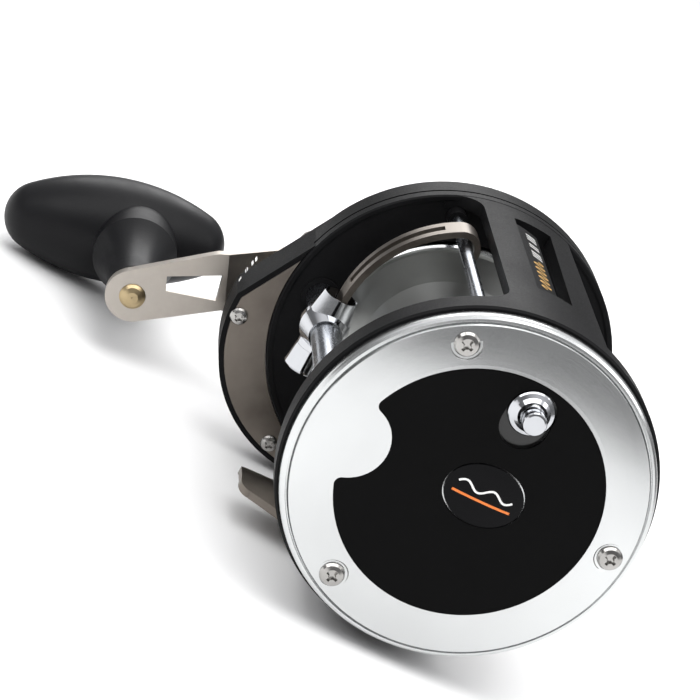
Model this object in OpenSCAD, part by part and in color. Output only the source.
// Level-wind trolling reel: star drag, right-hand drive, clamped to a rod by its foot.
// Millimetres. +X points from the plain cover to the handle, +Y to the rod tip, +Z up.
// The origin is the middle of the foot's seat on the rod.

/* [Body] */
// Height of the spool axis above the foot seat
axis_h = 39; // [38.8:0.1:40]
// Outer radius of the two frame rings
ring_r = 44.5; // [44.3:0.1:45.5]
// Radius of the silver side cover
cover_r = 43.5; // [43:0.1:44]
// Radius of the black panel let into the side cover
inlay_r = 31.3; // [30:0.1:32]

/* [Spool] */
// Radius of the spool flanges
flange_r = 31.3; // [30:0.1:31.3]
// Radius of the spool arbor
arbor_r = 13; // [11:0.5:16]
// Radius of the spool shaft
shaft_r = 2.5; // [2.4:0.05:2.5]

/* [Handle] */
// Thickness of the power arm
arm_t = 2.6; // [2.2:0.1:3]
// Half length of the torpedo knob
knob_half = 31; // [29:0.2:33]
// Radius of the torpedo knob at its middle
knob_r = 14.8; // [14:0.2:15.8]
// Radius of the star drag wheel over its tips
star_r = 21; // [19:0.5:22]

/* [Foot] */
// Half length of the reel foot
foot_half = 38.5; // [37:0.5:41]
// Thickness of the reel foot plate
foot_t = 1.8; // [1.6:0.1:1.8]
// Radius of the rod seat under the foot
seat_r = 17; // [15:0.5:20]

/* [Hidden] */
$fn = 96;
e = 0.1;
g = 0.3;
run = 0.04;

graphite = [0.09, 0.09, 0.10];
satin = [0.78, 0.78, 0.76];
steel = [0.62, 0.62, 0.62];
bright = [0.85, 0.86, 0.88];
brass = [0.75, 0.62, 0.36];
bronze = [0.42, 0.39, 0.36];

// left side stations along X
cov_face = -45.1;
cov_in = -42.9;
cov_edge = -40.9;
crown_r = 114;
inlay_floor = -44.2;
inlay_face = -44.85;
click_floor = -43.7;
ringl_out = -40.6;
ringl_web = -37;
ringl_in = -34;
// right side stations along X
ringr_in = 33.1;
ringr_web = 33.5;
ringr_out = 37;
hous_in = 34;
hous_top = 50;
hous_face = 52;

web_r = 32.1;
screw_r = 37.2;
cover_angles = [30, 150, 270];
hous_screws = [[-3.4, 38.7], [-31.9, -22.4], [3.4, -38.7]];
trim_screws_at = [[51.2, -12.8], [28.1, -41]];

foot_tip = 6.3;

// name pad
pad_floor = 42.35;
pad_tilt = 10;
pad_crown = 30;

// clicker, badge
click_y = -2.8;
click_z = 23.8;
click_travel = 3.4;
click_pocket = 5.8;
badge_y = -3.1;
badge_z = 1.0;
badge_a = 9.7;
badge_b = 7.6;
lobe_r = 9.7;
corner_r = 1.8;

// gear train
mod = 0.6;
main_n = 63;
pin_n = 15;
lw_n = 30;
wg_n = 15;
gear_dist = mod * (main_n + pin_n) / 2;
g_phi = 100;
g_y = gear_dist * sin(g_phi);
g_z = gear_dist * cos(g_phi);
lw_dist = mod * (lw_n + wg_n) / 2;
w_dir = 24.6;
w_y = g_y + lw_dist * cos(w_dir);
w_z = g_z + lw_dist * sin(w_dir);

// level wind
worm_r = 2;
tube_r = 3.7;
bar_y = 15;
bar_z = 35.9;
bar_r = 1.6;
car_x = 13.5;
car_r = 6.2;
car_half = 7;
guide_cy = 2.76;
guide_cz = 10.39;
guide_r = 32.75;
guide_hook_r = 4.5;
guide_a = 63;
guide_t = 1.6;
guide_w = 3.5;

// gear housing outline
hc_y = 17.3;
hc_z = -9.3;
hc_r = 37;
cut_a = 29.5;
cut_d = 43.5;

// clutch lever pivot, cast control, anti-reverse pivot
lev_y = -15;
lev_z = 16;
dog_y = 27;
dog_z = 9.4;
dog_a = 291.7;

// handle
hub_x = 66.5;
arm_x = 59.7;
elbow_y = 54.7;
elbow_z = -15.7;
tip_y = 73.6;
tip_z = -29.6;
knob_x = 106.7;
knob_dir = [-0.9618, 0.2737];
knob_off = 6;
knob_end_r = 9.8;
neck_r = 40;

// ---------- helpers ----------

module lift() {
    translate([0, 0, axis_h])
        children();
}

module cyl(x0, x1, r, y = 0, z = 0) {
    translate([x0, y, z])
        rotate([0, 90, 0])
            cylinder(h = x1 - x0, r = r);
}

module cone(x0, x1, r0, r1, y = 0, z = 0) {
    translate([x0, y, z])
        rotate([0, 90, 0])
            cylinder(h = x1 - x0, r1 = r0, r2 = r1);
}

module ring(x0, x1, ro, ri, y = 0, z = 0) {
    difference() {
        cyl(x0, x1, ro, y, z);
        cyl(x0 - 1, x1 + 1, ri, y, z);
    }
}

module prism(x0, x1) {
    translate([x0, 0, 0])
        rotate([90, 0, 90])
            linear_extrude(height = x1 - x0)
                children();
}

module lathe(y = 0, z = 0) {
    translate([0, y, z])
        rotate([0, 90, 0])
            rotate_extrude()
                children();
}

module box(x0, x1, y0, y1, z0, z1) {
    translate([x0, y0, z0])
        cube([x1 - x0, y1 - y0, z1 - z0]);
}

function polar(r, a) = [r * sin(a), r * cos(a)];

// cross recess cut into a screw head facing -X
module cross_cut(x0, depth, y, z, size = 1.7) {
    for (a = [20, 110])
        translate([x0, y, z])
            rotate([a, 0, 0])
                translate([-1, -0.38, -size])
                    cube([1 + depth, 0.76, 2 * size]);
    cone(x0 - e, x0 + depth, 0.95, 0.5, y, z);
}

// pan-head screw, head outer face at x0, pointing along +X
module pan_screw(x0, head_r, head_t, len, r, y, z) {
    difference() {
        union() {
            lathe(y, z)
                polygon([[0, x0], [head_r * 0.55, x0 + 0.05], [head_r * 0.85, x0 + 0.35],
                    [head_r, x0 + head_t * 0.75], [head_r, x0 + head_t], [0, x0 + head_t]]);
            cyl(x0 + head_t, x0 + head_t + len - 0.8, r, y, z);
            cone(x0 + head_t + len - 0.8, x0 + head_t + len, r, r * 0.5, y, z);
        }
        cross_cut(x0, head_t * 0.7, y, z, head_r * 0.52);
    }
}

// straight-flank spur gear outline in its own plane, a tooth centred on angle a0
module gear2d(n, a0, bore) {
    pr = mod * n / 2;
    tip = pr + 0.8 * mod;
    root = pr - 1.1 * mod;
    q = 90 / n;
    difference() {
        union() {
            circle(r = root);
            for (i = [0:n - 1])
                rotate(a0 + i * 360 / n)
                    polygon([[root - 0.3, -root * sin(q * 1.2)], [root, -root * sin(q * 1.2)],
                        [pr, -pr * sin(q * 0.82)], [tip, -tip * sin(q * 0.4)],
                        [tip, tip * sin(q * 0.4)], [pr, pr * sin(q * 0.82)],
                        [root, root * sin(q * 1.2)], [root - 0.3, root * sin(q * 1.2)]]);
        }
        circle(r = bore);
    }
}

// ---------- frame and covers ----------

module bridge_shell() {
    difference() {
        intersection() {
            lathe()
                polygon([[41, -36], [ring_r - e, -36], [ring_r - e, 35], [41, 35]]);
            prism(-36, 35)
                polygon([[0, 0], polar(60, -18), polar(60, 4), polar(60, 27)]);
        }
        rotate([-15, 0, 0])
            translate([0, 0, 30])
                linear_extrude(height = 20)
                    window2d();
        slot_cut();
    }
}

// outline of the line window's rear end, t = 0 on the bridge's front edge
module window2d() {
    x0 = ringl_in - 0.2;
    x1 = ringr_in + 0.2;
    r = 6.5;
    difference() {
        translate([x0, 0])
            square([x1 - x0, 20]);
        for (s = [0, 1])
            translate([s == 0 ? x0 : x1, 0])
                mirror([s, 0])
                    difference() {
                        square([r, r]);
                        translate([r, r])
                            circle(r = r);
                    }
    }
}

// the slot beside the name pad, cut through the bridge
module slot_cut() {
    rotate([2, 0, 0])
        translate([0, 0, 30])
            linear_extrude(height = 20)
                polygon([[-22, -3.8], [-22, -1.2], [25.6, -1.2], [25.6, -5]]);
    rotate([2, 0, 0])
        translate([0, 0, 30])
            linear_extrude(height = 20)
                polygon([[22, -4.5], [22, 4.9], [25.6, 4.9], [25.6, -4.5]]);
    name_pocket(0);
}

// sloping pocket that carries the name pad
module name_pocket(d) {
    rotate([0.5, 0, 0])
        translate([0, 0, pad_floor])
            rotate([pad_tilt, 0, 0])
                box(-21.6 + d, 25.3 - d, -2.9 + d, 4.6 - d, 0, 5);
}

module frame() {
    color(graphite)
        lift()
            difference() {
                union() {
                    lathe()
                        polygon([[42, ringl_out], [ring_r - 0.5, ringl_out],
                            [ring_r, ringl_out + 0.5], [ring_r, ringl_in - 0.4],
                            [ring_r - 0.4, ringl_in], [web_r, ringl_in], [web_r, ringl_web],
                            [42, ringl_web]]);
                    lathe()
                        polygon([[web_r, ringr_web], [42.6, ringr_web], [43.2, ringr_in],
                            [ring_r - 0.4, ringr_in], [ring_r, ringr_in + 0.4],
                            [ring_r, ringr_out - 0.8], [ring_r - 0.6, ringr_out],
                            [web_r, ringr_out]]);
                    bridge_shell();
                    for (a = cover_angles)
                        cyl(ringl_out + 0.1, ringl_web + e, 3.3, screw_r * sin(a), screw_r * cos(a));
                    box(ringl_in - 0.2, ringr_web + 0.2, -19, 19, -37.6, -34.3);
                    cyl(ringl_in - 1, ringl_in + 0.8, 4.9, w_y, w_z);
                    cyl(ringr_web - 0.8, ringr_web + 1, 4.9, w_y, w_z);
                    cyl(ringl_in - 1, ringl_in + 1.2, 2.5, bar_y, bar_z);
                    cyl(ringr_web - 4, ringr_web + 1, 2.5, bar_y, bar_z);
                }
                cyl(ringl_out - 1, ringr_out + 1, flange_r + 0.4);
                for (a = cover_angles)
                    cyl(ringl_out - 1, -34.8, 1.55, screw_r * sin(a), screw_r * cos(a));
                cyl(-36.7, ringr_out + 1, tube_r + run, w_y, w_z);
                cyl(-36.6, 36.4, bar_r + run, bar_y, bar_z);
                for (p = hous_screws)
                    cyl(ringr_web - 1, ringr_out + 1, 1.3, p[0], p[1]);
                saddle(seat_r + foot_t + 0.05, 60);
                for (y = [-13, 13])
                    translate([0, y, -38])
                        cylinder(h = 3.2, r = 1.55);
            }
}

// long cylinder whose top line is the contact line of the foot
module saddle(r, len) {
    translate([0, -len, -axis_h - seat_r])
        rotate([-90, 0, 0])
            cylinder(h = 2 * len, r = r);
}

module left_cover() {
    color(satin)
        lift()
            difference() {
                union() {
                    lathe()
                        intersection() {
                            polygon([[0, cov_face], [41.1, cov_face], [41.55, -44.3],
                                [41.75, -43.9], [41.8, -43.35], [42.15, -43.35],
                                [42.2, -43.95], [42.7, -43.85], [43.2, -43.5],
                                [cover_r - 0.1, -43], [cover_r, -42.4],
                                [cover_r, cov_edge], [41.6, cov_edge], [41.6, -42.4],
                                [41.1, cov_in], [0, cov_in]]);
                            union() {
                                translate([0, -50])
                                    square([31, 20]);
                                translate([30, cov_face - 0.02 + crown_r])
                                    circle(r = crown_r, $fn = 720);
                            }
                        }
                    for (a = cover_angles)
                        cyl(cov_in - e, -40.75, 3.3, screw_r * sin(a), screw_r * cos(a));
                    cyl(cov_in - e, -38.9, 7.5);
                    box(cov_in - e, -40.4, click_y - 7.2, click_y - 3.2, 17.5, 27.5);
                    box(cov_in - e, -40.4, click_y + 3.2, click_y + 7.2, 17.5, 27.5);
                }
                prism(cov_face - 1, inlay_floor)
                    inlay2d(0);
                prism(inlay_floor - 1, click_floor)
                    obround(click_pocket);
                prism(click_floor - 1, cov_in + 1)
                    obround(2.2);
                for (a = cover_angles) {
                    cone(cov_face - e, -44.85, 4.1, 3.6, screw_r * sin(a), screw_r * cos(a));
                    cyl(cov_face - 1, -40, 1.65, screw_r * sin(a), screw_r * cos(a));
                }
                cyl(cov_in, -38, 5.52);
            }
}

// slot shape of the clicker, r wide each side of its travel
module obround(r) {
    translate([click_y, click_z])
        circle(r = r);
    translate([click_y, click_z - click_travel])
        circle(r = r);
    translate([click_y - r, click_z - click_travel])
        square([2 * r, click_travel]);
}

// the inlay: a disc with a round lobe taken out of its front side
module inlay2d(d) {
    r = inlay_r - d;
    fy = (pow(inlay_r - corner_r, 2) - pow(lobe_r + corner_r, 2) + inlay_r * inlay_r)
        / (2 * inlay_r);
    fz = sqrt(pow(inlay_r - corner_r, 2) - fy * fy);
    difference() {
        circle(r = r);
        translate([inlay_r, 0])
            circle(r = lobe_r + d);
        for (s = [-1, 1])
            polygon([[fy, s * fz], [fy, s * fz] * (inlay_r + 2) / (inlay_r - corner_r),
                [inlay_r + 1, s * 8],
                [inlay_r + (fy - inlay_r) * lobe_r / (lobe_r + corner_r),
                    s * fz * lobe_r / (lobe_r + corner_r)]]);
    }
    for (s = [-1, 1])
        translate([fy, s * fz])
            circle(r = corner_r - d);
}

module ellipse2d(a, b) {
    polygon([for (i = [0:59]) [a * cos(i * 6), b * sin(i * 6)]]);
}

module cover_inlay() {
    color(graphite)
        lift()
            difference() {
                prism(inlay_face, inlay_floor - 0.01)
                    inlay2d(0.06);
                prism(inlay_face - 1, inlay_floor + 1)
                    obround(click_pocket);
                prism(inlay_face - 1, inlay_floor + 1)
                    translate([badge_y, badge_z])
                        ellipse2d(badge_a + 0.3, badge_b + 0.3);
            }
}

module badge() {
    color([0.03, 0.03, 0.035])
        lift()
            intersection() {
                prism(inlay_face - 2, inlay_floor - 0.01)
                    translate([badge_y, badge_z])
                        ellipse2d(badge_a, badge_b);
                translate([inlay_face - 0.8 + 58, badge_y, badge_z])
                    sphere(r = 58, $fn = 360);
            }
}

module cover_screws() {
    color(steel)
        lift()
            for (a = cover_angles)
                pan_screw(-46.15, 3, 1.28, 9.6, 1.5, screw_r * sin(a), screw_r * cos(a));
}

module left_bearing() {
    color(steel)
        lift()
            difference() {
                cyl(cov_in, -38.9, 5.5);
                cyl(cov_in - 1, -38, shaft_r + 0.02);
                ring(-39.2, -38, 4.5, 3.4);
            }
}

// ---------- clicker ----------

module clicker_button() {
    color(bright)
        lift() {
            lathe(click_y, click_z)
                polygon([[0, -51], [2.2, -51], [2.65, -50.85], [2.85, -50.5], [2.9, -48.6],
                    [3.05, -47.5], [3.45, -46.5], [4.25, -45.7], [5.15, -45.25], [5.45, -44.9],
                    [5.45, -44.5], [5.1, -44.25], [4.4, click_floor - 0.3],
                    [0, click_floor - 0.3]]);
            cyl(click_floor - 0.4, -38.4, 1.9, click_y, click_z);
        }
}

module click_tongue() {
    color(steel)
        lift()
            prism(-38.3, -36.7)
                difference() {
                    union() {
                        translate([click_y, click_z])
                            circle(r = 3);
                        polygon([[click_y - 3, click_z], [click_y - 3, click_z - 5],
                            [click_y - 0.7, 14.4], [click_y + 0.7, 14.6],
                            [click_y + 3, click_z - 5], [click_y + 3, click_z]]);
                    }
                    translate([click_y, click_z])
                        circle(r = 1.2);
                }
    color(steel)
        lift()
            cyl(-38.4, -36.4, 1.18, click_y, click_z);
}

module click_spring() {
    color(steel)
        lift() {
            for (s = [-1, 1])
                translate([-41.6, click_y + s * 2.7, 17.5])
                    cylinder(h = 9, r = 0.35);
            translate([-41.6, click_y, 26.5])
                rotate([90, 0, 90])
                    rotate_extrude(angle = 180)
                        translate([2.7, 0])
                            circle(r = 0.35, $fn = 24);
        }
}

module click_gear() {
    tip = 11;
    root = 9.3;
    color(steel)
        lift()
            prism(-38.2, -36.8)
                difference() {
                    union() {
                        circle(r = root);
                        for (i = [0:15])
                            rotate(90 + 14.6 + 11.25 + i * 22.5)
                                polygon([[root - 0.5, -1.05], [root, -1], [tip, -0.45],
                                    [tip, 0.45], [root, 1], [root - 0.5, 1.05]]);
                    }
                    circle(r = 4.02);
                }
}

// ---------- spool ----------

module spool() {
    f = flange_r;
    a = arbor_r;
    color(satin)
        lift()
            difference() {
                lathe()
                    polygon([[0, -38.3], [4, -38.3], [4, -36.6], [6, -36.6], [6, -34.8],
                        [9, -33.4], [24, -33.9], [28.6, -34.2], [29.4, -35], [f - 0.4, -35],
                        [f, -34.6], [f, -33], [f - 0.5, -32.6], [f - 1, -32.7], [f - 2, -33.1],
                        [26, -32.4], [22, -31.4], [18, -29.6], [a + 1.4, -26.8],
                        [a + 0.3, -24.5], [a, -22],
                        [a, 22], [a + 0.3, 24.5], [a + 1.4, 26.8], [18, 29.6], [22, 31.4],
                        [26, 32.4], [f - 2, 33.1], [f - 1, 32.7], [f - 0.5, 32.6], [f, 33],
                        [f, 34.6], [f - 0.4, 35], [29.4, 35], [28.6, 34.2], [24, 33.9],
                        [9, 33.4], [6, 34.4], [6, 35], [0, 35]]);
                cyl(-50, 50, shaft_r + 0.02);
            }
}

module spool_shaft() {
    color(steel)
        lift()
            difference() {
                union() {
                    cyl(-42.4, 54, shaft_r);
                    cone(-42.7, -42.4, shaft_r - 0.3, shaft_r);
                    cone(54, 54.5, shaft_r, shaft_r - 0.5);
                }
                translate([36.2, 0, -5])
                    cylinder(h = 10, r = 0.82);
            }
}

module clutch_pin() {
    color(steel)
        lift()
            translate([36.2, 0, -3.7])
                cylinder(h = 7.4, r = 0.8);
}

// ---------- handle side ----------

module housing2d(d) {
    circle(r = ring_r - d);
    intersection() {
        translate([hc_y, hc_z])
            circle(r = hc_r - d);
        rotate(cut_a)
            translate([-60, -60])
                square([60 + cut_d - d, 120]);
    }
}

module housing_solid(d, x0, x1, top) {
    r1 = ring_r - d;
    r2 = hc_r - d;
    lathe()
        polygon([[0, ringr_out], [r1, ringr_out], [r1, 43.5 - d], [r1 - 1, 46 - d],
            [r1 - 3, 48.5 - d], [r1 - 6, 50.8 - d], [r1 - 8.5, top], [0, top]]);
    intersection() {
        lathe(hc_y, hc_z)
            polygon([[0, x0], [r2, x0], [r2, 44.5 - d], [r2 - 0.8, 46.8 - d],
                [r2 - 2.4, 49 - d], [r2 - 4.6, 50.9 - d], [r2 - 6.5, top], [0, top]]);
        prism(x0 - 1, top + 1)
            rotate(cut_a)
                translate([-60, -60])
                    square([60 + cut_d - d, 120]);
        translate([0, cut_d * cos(cut_a), cut_d * sin(cut_a)])
            rotate([cut_a, 0, 0])
                translate([0, -d, 0])
                    rotate([0, 0, 90])
                        rotate([180, 0, 0])
                            translate([0, 0, -70])
                                linear_extrude(height = 140)
                                    polygon([[-90, x0 - 1], [0, x0 - 1], [0, 46 - d],
                                        [-1.2, 48.6 - d], [-3.6, 50.8 - d], [-6, top + e],
                                        [-90, top + e]]);
    }
}

module gear_housing() {
    color(graphite)
        lift()
            difference() {
                union() {
                    difference() {
                        housing_solid(0, hous_in, hous_face, hous_face);
                        housing_solid(2, hous_in - 5, hous_top, hous_top);
                        cyl(hous_in - 5, ringr_out, ring_r + 0.15);
                        prism(hous_in - 1, 35.5)
                            trim2d(-0.08);
                    }
                    for (p = trim_screws_at)
                        intersection() {
                            cyl(35.5, 47, 3.3, p[0], p[1]);
                            housing_solid(0.5, hous_in, 49, 49);
                        }
                    for (p = hous_screws)
                        cyl(ringr_out + 0.05, hous_top + e, 3.2, p[0], p[1]);
                    ring(48.2, 54.2, 7, 3, g_y, g_z);
                    cyl(hous_top - e, 54.8, 7.1);
                    cyl(49, 54, 4.6, lev_y, lev_z);
                }
                cyl(48, 56, 4.02, g_y, g_z);
                cyl(47, 54.9, 5.52);
                cyl(48, 56, 2.54, lev_y, lev_z);
                for (p = trim_screws_at)
                    cyl(34, 43, 1.3, p[0], p[1]);
                for (p = hous_screws) {
                    cyl(36, 56, 1.65, p[0], p[1]);
                    cyl(50.4, 56, 3.15, p[0], p[1]);
                }
            }
}

module trim2d(d) {
    difference() {
        intersection() {
            translate([hc_y, hc_z])
                circle(r = hc_r - 1.4 - d);
            rotate(cut_a)
                translate([-60, -60])
                    square([60 + cut_d - 1.4 - d, 120]);
        }
        circle(r = ring_r + 0.25 + d);
    }
}

module trim_plate() {
    color(bronze)
        lift()
            difference() {
                prism(hous_in - 0.1, 35.45)
                    trim2d(0);
                for (p = trim_screws_at)
                    cyl(30, 40, 1.6, p[0], p[1]);
            }
}

module trim_screws() {
    color(steel)
        lift()
            for (p = trim_screws_at)
                pan_screw(32.7, 2.3, 1.18, 7.5, 1.28, p[0], p[1]);
}

module housing_screws() {
    color(steel)
        lift()
            for (p = hous_screws)
                mirror([1, 0, 0])
                    pan_screw(-51.9, 2.9, 1.45, 15.5, 1.28, p[0], p[1]);
}

module gear_plate() {
    color(steel)
        lift()
            difference() {
                prism(ringr_out + 0.02, 38.4)
                    difference() {
                        housing2d(2.4);
                        for (p = hous_screws)
                            translate(p)
                                circle(r = 3.4);
                        for (p = trim_screws_at)
                            translate(p)
                                circle(r = 3.7);
                        circle(r = 4.55);
                        translate([g_y, g_z])
                            circle(r = 4.02);
                        translate([w_y, w_z])
                            circle(r = 2.3);
                        translate([dog_y, dog_z])
                            circle(r = 1.02);
                    }
            }
}

module drive_shaft() {
    color(steel)
        lift()
            difference() {
                union() {
                    cyl(36.7, 48, 3, g_y, g_z);
                    cyl(48, 57, 2.9, g_y, g_z);
                    cyl(57, 66.2, 2.8, g_y, g_z);
                    cyl(66.2, 73.2, 2.4, g_y, g_z);
                    cyl(38.7, 38.98, 4.6, g_y, g_z);
                }
                for (s = [-1, 1])
                    box(60, 69.3, g_y - 5, g_y + 5, g_z + (s > 0 ? 2.1 : -7.1),
                        g_z + (s > 0 ? 7.1 : -2.1));
            }
}

module drive_bushings() {
    color(brass)
        lift() {
            ring(ringr_out + 0.02, 38.4, 4, 3 + run, g_y, g_z);
            ring(48.3, 54.2, 4, 2.9 + 0.06, g_y, g_z);
        }
}

module main_gear() {
    color(brass)
        lift()
            difference() {
                translate([43.6, g_y, g_z])
                    rotate([90, 0, 90])
                        linear_extrude(height = 3)
                            gear2d(main_n, 180 - (g_phi - 90), 3.04);
                cyl(44.7, 48, 15, g_y, g_z);
            }
}

module drag_fibre_washers() {
    color([0.25, 0.22, 0.18])
        lift() {
            ring(44.72, 45.3, 14.5, 3.6, g_y, g_z);
            ring(46.14, 46.7, 14.5, 3.6, g_y, g_z);
        }
}

module drag_steel_washers() {
    color(steel)
        lift() {
            ring(45.32, 46.12, 14.6, 3.06, g_y, g_z);
            ring(46.72, 47.7, 12, 3.06, g_y, g_z);
        }
}

module worm_drive_gear() {
    color([0.86, 0.85, 0.8])
        lift()
            translate([39, g_y, g_z])
                rotate([90, 0, 90])
                    linear_extrude(height = 2)
                        gear2d(lw_n, w_dir, 3.04);
}

module worm_gear() {
    color([0.86, 0.85, 0.8])
        lift()
            translate([39.1, w_y, w_z])
                rotate([90, 0, 90])
                    linear_extrude(height = 1.8)
                        gear2d(wg_n, 180 + w_dir + 180 / wg_n, worm_r + 0.02);
}

module ratchet() {
    color(steel)
        lift()
            prism(41.3, 43.1)
                translate([g_y, g_z])
                    difference() {
                        union() {
                            circle(r = 6.9);
                            for (i = [0:11])
                                rotate(i * 30 + 23.7)
                                    polygon([[5.5, -1.6], [6.8, -1.6], [8.45, 1.3], [6.6, 1.5],
                                        [5.5, 1.5]]);
                        }
                        circle(r = 3.04);
                    }
}

module antireverse_dog() {
    color(steel)
        lift() {
            prism(41.3, 42.9)
                translate([dog_y, dog_z])
                    rotate(dog_a)
                        difference() {
                            union() {
                                circle(r = 2.3);
                                polygon([[0, -2.2], [9, 0], [8.6, 1.4], [0, 2.2]]);
                            }
                            circle(r = 0.9);
                        }
            cyl(ringr_out + 0.3, 43.2, 0.98, dog_y, dog_z);
        }
}

module dog_spring() {
    color(steel)
        lift()
            for (i = [0:3])
                translate([38.8 + i * 0.62, dog_y, dog_z])
                    rotate([0, 90, 0])
                        rotate_extrude()
                            translate([1.6, 0])
                                circle(r = 0.22, $fn = 16);
}

module pinion_gear() {
    color(brass)
        lift()
            difference() {
                union() {
                    translate([40.9, 0, 0])
                        rotate([90, 0, 90])
                            linear_extrude(height = 6.4)
                                gear2d(pin_n, 180 - (g_phi - 90) + 180 + 12, shaft_r);
                    cyl(35.6, 39, 4.2);
                    cyl(38.9, 41, 3.3);
                }
                cyl(30, 60, shaft_r + run);
                box(34, 37.1, -1.1, 1.1, -6, 6);
            }
}

module pinion_yoke() {
    color(bright)
        lift()
            prism(39.25, 40.6)
                difference() {
                    union() {
                        translate([-7.4, -13.5])
                            square([6.6, 27]);
                        circle(r = 6);
                        translate([-4, 13.5])
                            circle(r = 3.3);
                        translate([-4, -13.5])
                            circle(r = 3.3);
                    }
                    circle(r = 3.62);
                    translate([0, -3.62])
                        square([10, 7.24]);
                    for (s = [-1, 1])
                        translate([-4, s * 13.5])
                            circle(r = 1.06);
                }
}

module yoke_posts() {
    color(steel)
        lift()
            for (s = [-1, 1]) {
                cyl(38.42, 48.4, 1, -4, s * 13.5);
                cyl(48.2, 48.9, 1.8, -4, s * 13.5);
            }
}

module yoke_springs() {
    color(steel)
        lift()
            for (s = [-1, 1], i = [0:4])
                translate([43.5 + i * 1.1, -4, s * 13.5])
                    rotate([0, 90, 0])
                        rotate_extrude()
                            translate([1.7, 0])
                                circle(r = 0.3, $fn = 16);
}

module clutch_lever() {
    color(graphite)
        lift() {
            difference() {
                union() {
                    prism(54.3, 57) {
                        translate([lev_y, lev_z])
                            circle(r = 5.2);
                        polygon([[lev_y - 5, lev_z - 1], [lev_y - 15, lev_z + 9],
                            [lev_y - 12.5, lev_z + 13], [lev_y - 9.5, lev_z + 13.5],
                            [lev_y + 1, lev_z + 5.1]]);
                    }
                    cyl(53.2, 57.6, 3.2, lev_y - 11.6, lev_z + 10.9);
                }
                cyl(54, 56.2, 2.52, lev_y, lev_z);
            }
        }
}

module clutch_cam() {
    color(steel)
        lift() {
            cyl(41.2, 56.15, 2.5, lev_y, lev_z);
            cyl(41.2, 43, 4.6, lev_y + 1.6, lev_z - 1);
        }
}

module right_bearing() {
    color(steel)
        lift()
            difference() {
                cyl(50.6, 54.6, 5.5);
                cyl(50, 56, shaft_r + 0.02);
                ring(50, 50.9, 4.5, 3.4);
            }
}

module cast_cap() {
    color(bright)
        lift()
            difference() {
                union() {
                    lathe()
                        polygon([[0, 52.4], [8.6, 52.4], [8.9, 52.8], [8.9, 55.6], [8.3, 56.6],
                            [0, 56.9]]);
                }
                cyl(52, 55.5, 7.14);
                for (i = [0:23])
                    rotate([i * 15, 0, 0])
                        box(52, 57, -0.35, 0.35, 8.55, 9.5);
            }
}

module tension_disc() {
    color([0.5, 0.3, 0.15])
        lift()
            cyl(54.85, 55.45, 3.2);
}

module star_drag() {
    tip_at = star_r - 3.4;
    color(bright)
        lift()
            translate([0, g_y, g_z])
                difference() {
                    union() {
                        prism(57.4, 60.4) {
                            circle(r = 8);
                            for (i = [0:4])
                                rotate(i * 72 + 30) {
                                    polygon([[4, -3.1], [12, -2.2], [tip_at, -2.4],
                                        [tip_at, 2.4], [12, 2.2], [4, 3.1]]);
                                    translate([tip_at, 0])
                                        circle(r = 3.4);
                                }
                        }
                        cyl(60.3, 62, 6.4);
                        for (i = [0:4])
                            cyl(60.3, 60.9, 2.8, tip_at * cos(i * 72 + 30),
                                tip_at * sin(i * 72 + 30));
                    }
                    cyl(57, 63, 2.9);
                }
}

module star_spring_washers() {
    color(steel)
        lift() {
            lathe(g_y, g_z)
                polygon([[3.1, 54.55], [5.8, 55.2], [5.8, 55.7], [3.1, 55.05]]);
            lathe(g_y, g_z)
                polygon([[3.1, 56.6], [5.8, 55.9], [5.8, 56.4], [3.1, 57.1]]);
        }
}

module handle_sleeve() {
    color(steel)
        lift()
            ring(62.4, hub_x - 0.02, 4.4, 2.86, g_y, g_z);
}

// plan outline of the power arm, looking along X
module arm2d() {
    v1 = [elbow_y - g_y, elbow_z - g_z] / norm([elbow_y - g_y, elbow_z - g_z]);
    v2 = [tip_y - elbow_y, tip_z - elbow_z] / norm([tip_y - elbow_y, tip_z - elbow_z]);
    n1 = [-v1[1], v1[0]];
    n2 = [-v2[1], v2[0]];
    hub = [g_y, g_z];
    elbow = [elbow_y, elbow_z];
    tip = [tip_y, tip_z];
    translate(hub)
        circle(r = 8.8);
    polygon([hub + 8.8 * n1, hub - 8.8 * n1, elbow - 7.9 * n1, elbow + 7.9 * n1]);
    translate(elbow)
        circle(r = 7.9);
    polygon([elbow + 7.9 * n2, elbow - 7.9 * n2, tip - 7.2 * n2, tip + 7.2 * n2]);
    translate(tip)
        circle(r = 7.2);
}

module handle_arm() {
    color([0.72, 0.70, 0.67])
        lift()
            difference() {
                intersection() {
                    prism(50, 80)
                        arm2d();
                    translate([0, g_y, g_z])
                        rotate([-22, 0, 0])
                            translate([0, 0, -60])
                                linear_extrude(height = 120)
                                    polygon([[hub_x, -20], [hub_x, 18], [arm_x, 32], [arm_x, 90],
                                        [arm_x + arm_t, 90], [arm_x + arm_t, 33],
                                        [hub_x + arm_t, 19], [hub_x + arm_t, -20]]);
                }
                prism(50, 80)
                    polygon([[68, -20.5], [55, -13.7], [53.4, -20.9], [66.4, -24.3]]);
                intersection() {
                    cyl(60, 72, 2.44, g_y, g_z);
                    box(60, 72, g_y - 5, g_y + 5, g_z - 2.15, g_z + 2.15);
                }
                cyl(50, 80, 2.02, tip_y, tip_z);
                cyl(60, 70, 1.13, g_y + 13 * cos(22), g_z - 13 * sin(22));
                cone(arm_x - e, arm_x + 0.4, 2.5, 2.02, tip_y, tip_z);
            }
}

module handle_nut() {
    color(steel)
        lift()
            difference() {
                union() {
                    translate([69.12, g_y, g_z])
                        rotate([0, 90, 0])
                            cylinder(h = 4, r = 5.2, $fn = 6);
                    cone(73.1, 73.9, 4.3, 3.6, g_y, g_z);
                }
                cyl(69, 73.3, 2.42, g_y, g_z);
                cyl(73, 75, 1.3, g_y, g_z);
            }
}

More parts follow.
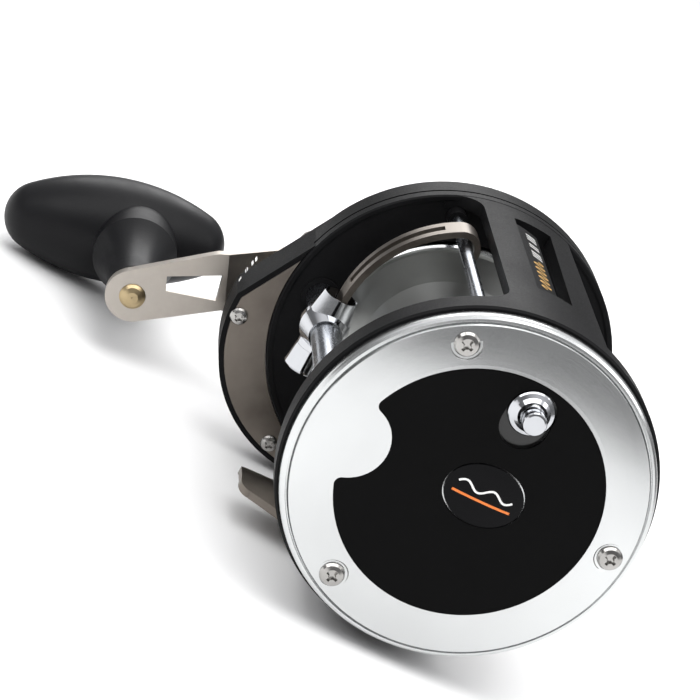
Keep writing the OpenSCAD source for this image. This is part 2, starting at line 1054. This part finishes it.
module nut_retainer() {
    color(bright)
        lift()
            difference() {
                prism(69.15, 70.1)
                    difference() {
                        union() {
                            translate([g_y, g_z])
                                circle(r = 7);
                            translate([g_y, g_z])
                                rotate(-22)
                                    translate([0, -2.6])
                                        square([13.5, 5.2]);
                            translate([g_y + 13 * cos(22), g_z - 13 * sin(22)])
                                circle(r = 2.6);
                        }
                        translate([g_y, g_z])
                            circle(r = 5.3);
                        translate([g_y + 13 * cos(22), g_z - 13 * sin(22)])
                            circle(r = 1.15);
                    }
            }
}

module retainer_screw() {
    y = g_y + 13 * cos(22);
    z = g_z - 13 * sin(22);
    color(steel)
        lift()
            mirror([1, 0, 0])
                pan_screw(-71.2, 1.9, 1.05, 3.2, 1.1, y, z);
}

module knob_post() {
    color(brass)
        lift()
            difference() {
                union() {
                    lathe(tip_y, tip_z)
                        polygon([[0, arm_x - 1.5], [1.5, arm_x - 1.4], [2.7, arm_x - 0.95],
                            [3.4, arm_x - 0.35], [3.5, arm_x - 0.02], [0, arm_x - 0.02]]);
                    cyl(arm_x - e, 112.5, 1.98, tip_y, tip_z);
                    cyl(arm_x + arm_t + 0.02, arm_x + arm_t + 0.8, 4.2, tip_y, tip_z);
                }
                cyl(108, 113, 0.8, tip_y, tip_z);
            }
}

// half of the torpedo outline, its long axis along the second coordinate
module torpedo2d() {
    mid = knob_half - knob_end_r;
    side_r = (knob_r * knob_r + mid * mid - knob_end_r * knob_end_r)
        / (2 * (knob_r - knob_end_r));
    seam = mid * side_r / (side_r - knob_end_r) - 0.4;
    intersection() {
        translate([0, -knob_half - 1])
            square([knob_r + 1, 2 * knob_half + 2]);
        union() {
            for (s = [-1, 1])
                translate([0, s * mid])
                    circle(r = knob_end_r);
            intersection() {
                translate([knob_r - side_r, 0])
                    circle(r = side_r, $fn = 360);
                translate([0, -seam])
                    square([knob_r + 1, 2 * seam]);
            }
        }
    }
}

module knob() {
    ang = atan2(knob_dir[1], knob_dir[0]);
    color([0.05, 0.05, 0.055])
        lift()
            difference() {
                union() {
                    translate([knob_x, tip_y, tip_z])
                        rotate([ang, 0, 0])
                            translate([0, -knob_off, 0])
                                rotate([-90, 0, 0])
                                    rotate_extrude()
                                        torpedo2d();
                    lathe(tip_y, tip_z)
                        difference() {
                            polygon([[0, 63.4], [6.5, 63.4], [7, 63.9], [7, 70], [11.5, 70],
                                [11.5, 99.5], [0, 99.5]]);
                            translate([7 + neck_r, 69.9])
                                circle(r = neck_r, $fn = 720);
                        }
                }
                cyl(60, 67, 4.02, tip_y, tip_z);
                cyl(66, 113, 2.5, tip_y, tip_z);
                cyl(105.5, 122, 4.02, tip_y, tip_z);
            }
}

module knob_bushings() {
    color(brass)
        lift() {
            ring(63.5, 66.9, 4, 2.04, tip_y, tip_z);
            ring(105.6, 109.6, 4, 2.04, tip_y, tip_z);
        }
}

module knob_screw() {
    color(steel)
        lift()
            mirror([1, 0, 0])
                pan_screw(-114, 3.3, 1.4, 3.6, 0.78, tip_y, tip_z);
}

// ---------- level wind ----------

module worm_tube() {
    color(bright)
        lift()
            difference() {
                cyl(-36.6, 36.95, tube_r, w_y, w_z);
                cyl(-40, 40, 3, w_y, w_z);
                box(-30, 31, w_y - 1.8, w_y + 1.8, w_z - 5, w_z);
            }
}

module worm_shaft() {
    pitch = 5.6;
    color(steel)
        lift()
            difference() {
                union() {
                    cyl(-36.4, 42.2, worm_r, w_y, w_z);
                    cyl(41.25, 41.75, 3, w_y, w_z);
                }
                for (i = [-5:5], s = [-1, 1])
                    translate([i * pitch + s * 1.4, w_y, w_z])
                        rotate([0, s * 34, 0])
                            ring(-0.42, 0.42, 4, 1.25);
            }
}

module worm_bushings() {
    color(brass)
        lift() {
            ring(-36.4, -33.6, 2.98, worm_r + run, w_y, w_z);
            ring(33.9, 36.9, 2.98, worm_r + run, w_y, w_z);
        }
}

module carriage() {
    color(bright)
        lift()
            translate([car_x, 0, 0])
                difference() {
                    union() {
                        cyl(-1, 1, car_r, w_y, w_z);
                        cone(-car_half, -1, 4.2, car_r, w_y, w_z);
                        cone(1, car_half, car_r, 4.2, w_y, w_z);
                        translate([0, w_y, w_z - 0.5])
                            cylinder(h = 9.4, r1 = 6, r2 = 4.35);
                        translate([0, w_y, w_z - 6.4])
                            cylinder(h = 3, r = 4.15);
                    }
                    cyl(-10, 10, tube_r + 0.08, w_y, w_z);
                    translate([0, w_y, w_z - 8])
                        cylinder(h = 8, r = 1.5);
                    translate([0, w_y, w_z + 5.3])
                        cylinder(h = 5, r = 3.95);
                }
}

module pawl() {
    color(brass)
        lift()
            translate([car_x, w_y, w_z - 8.6])
                union() {
                    cylinder(h = 5.8, r = 1.45);
                    translate([-0.5, -1.1, 5.6])
                        cube([1, 2.2, 0.7]);
                }
}

module pawl_cap() {
    color(bright)
        lift()
            translate([car_x, w_y, w_z - 12.5])
                difference() {
                    union() {
                        cylinder(h = 0.4, r1 = 4.3, r2 = 4.7);
                        translate([0, 0, 0.39])
                            cylinder(h = 5.7, r1 = 4.7, r2 = 4.2);
                    }
                    translate([0, 0, 3.8])
                        cylinder(h = 4, r = 1.5);
                    translate([-6, -0.45, -1])
                        cube([12, 0.9, 1.9]);
                }
}

// ribbon of the line guide, drawn in the Y-Z plane; its radii are the outer ones
module guide2d() {
    c = [guide_cy, guide_cz];
    hook = c + (guide_r - guide_hook_r) * [cos(guide_a), sin(guide_a)];
    intersection() {
        translate(c)
            difference() {
                circle(r = guide_r);
                circle(r = guide_r - guide_t);
            }
        polygon([c, c + 60 * [cos(-5), sin(-5)], c + 60 * [cos(30), sin(30)],
            c + 60 * [cos(guide_a), sin(guide_a)]]);
    }
    intersection() {
        translate(hook)
            difference() {
                circle(r = guide_hook_r);
                circle(r = guide_hook_r - guide_t);
            }
        polygon([hook, hook + 20 * [cos(guide_a - 0.2), sin(guide_a - 0.2)],
            hook + 20 * [cos(130), sin(130)], hook + 20 * [cos(198), sin(198)]]);
    }
}

module line_guide() {
    c = [guide_cy, guide_cz];
    color(bronze)
        lift()
            difference() {
                prism(car_x - guide_w, car_x + guide_w)
                    guide2d();
                intersection() {
                    box(car_x - 1.3, car_x + 1.3, 10, 60, -20, 60);
                    prism(0, 40)
                        polygon([c, c + 60 * [cos(8), sin(8)], c + 60 * [cos(30), sin(30)],
                            c + 60 * [cos(56), sin(56)]]);
                }
            }
}

module guide_bar() {
    color(bright)
        lift()
            cyl(-36.5, 36.3, bar_r, bar_y, bar_z);
}

// ---------- name pad and foot ----------

module name_pad() {
    color(graphite)
        lift()
            rotate([0.5, 0, 0])
                translate([0, 0, pad_floor])
                    rotate([pad_tilt, 0, 0])
                        intersection() {
                            box(-21.4, 21.7, -2, 4.5, 0.02, 5);
                            cyl(-30, 30, pad_crown, 0.8, 1.15 - pad_crown, $fn = 720);
                        }
}

module foot_plan() {
    h = foot_half;
    polygon([[-foot_tip, -h + 3], [-10.6, -18], [-10.6, 18], [-foot_tip, h - 3], [foot_tip, h - 3],
        [10.6, 18], [10.6, -18], [foot_tip, -h + 3]]);
    translate([3 - foot_tip, -h])
        square([2 * foot_tip - 6, 2 * h]);
    for (s = [-1, 1], t = [-1, 1])
        translate([s * (foot_tip - 3), t * (h - 2.9)])
            circle(r = 2.9);
}

module reel_foot() {
    color(bronze)
        lift()
            difference() {
                intersection() {
                    translate([0, 0, -axis_h - 8])
                        linear_extrude(height = 12)
                            foot_plan();
                    saddle(seat_r + foot_t, 60);
                }
                saddle(seat_r, 70);
                box(-2.4, 2.4, -60, 60, -axis_h - 4, -axis_h);
                for (y = [-13, 13]) {
                    translate([0, y, -axis_h - 1])
                        cylinder(h = 4, r = 1.65);
                    translate([0, y, -axis_h - 1])
                        cylinder(h = 1, r = 3.05);
                    translate([0, y, -axis_h - 0.01])
                        cylinder(h = 1.2, r1 = 3.05, r2 = 1.65);
                }
            }
}

module foot_screws() {
    color(steel)
        lift()
            for (y = [-13, 13])
                translate([0, y, -axis_h])
                    difference() {
                        union() {
                            translate([0, 0, 0.15])
                                cylinder(h = 1.05, r1 = 2.75, r2 = 1.5);
                            cylinder(h = 4, r = 1.5);
                        }
                        translate([0, 0, -0.2])
                            cylinder(h = 0.36, r = 4);
                        for (a = [45, 135])
                            rotate([0, 0, a])
                                translate([-1.4, -0.35, -1])
                                    cube([2.8, 0.7, 1.8]);
                    }
}

frame();
left_cover();
cover_inlay();
badge();
cover_screws();
left_bearing();
clicker_button();
click_tongue();
click_spring();
click_gear();
spool();
spool_shaft();
clutch_pin();
gear_plate();
gear_housing();
trim_plate();
trim_screws();
housing_screws();
drive_shaft();
drive_bushings();
main_gear();
drag_fibre_washers();
drag_steel_washers();
worm_drive_gear();
ratchet();
antireverse_dog();
dog_spring();
pinion_gear();
pinion_yoke();
yoke_posts();
yoke_springs();
clutch_lever();
clutch_cam();
right_bearing();
cast_cap();
tension_disc();
star_drag();
star_spring_washers();
handle_sleeve();
handle_arm();
handle_nut();
nut_retainer();
retainer_screw();
knob_post();
knob();
knob_bushings();
knob_screw();
worm_tube();
worm_shaft();
worm_bushings();
worm_gear();
carriage();
pawl();
pawl_cap();
line_guide();
guide_bar();
name_pad();
reel_foot();
foot_screws();
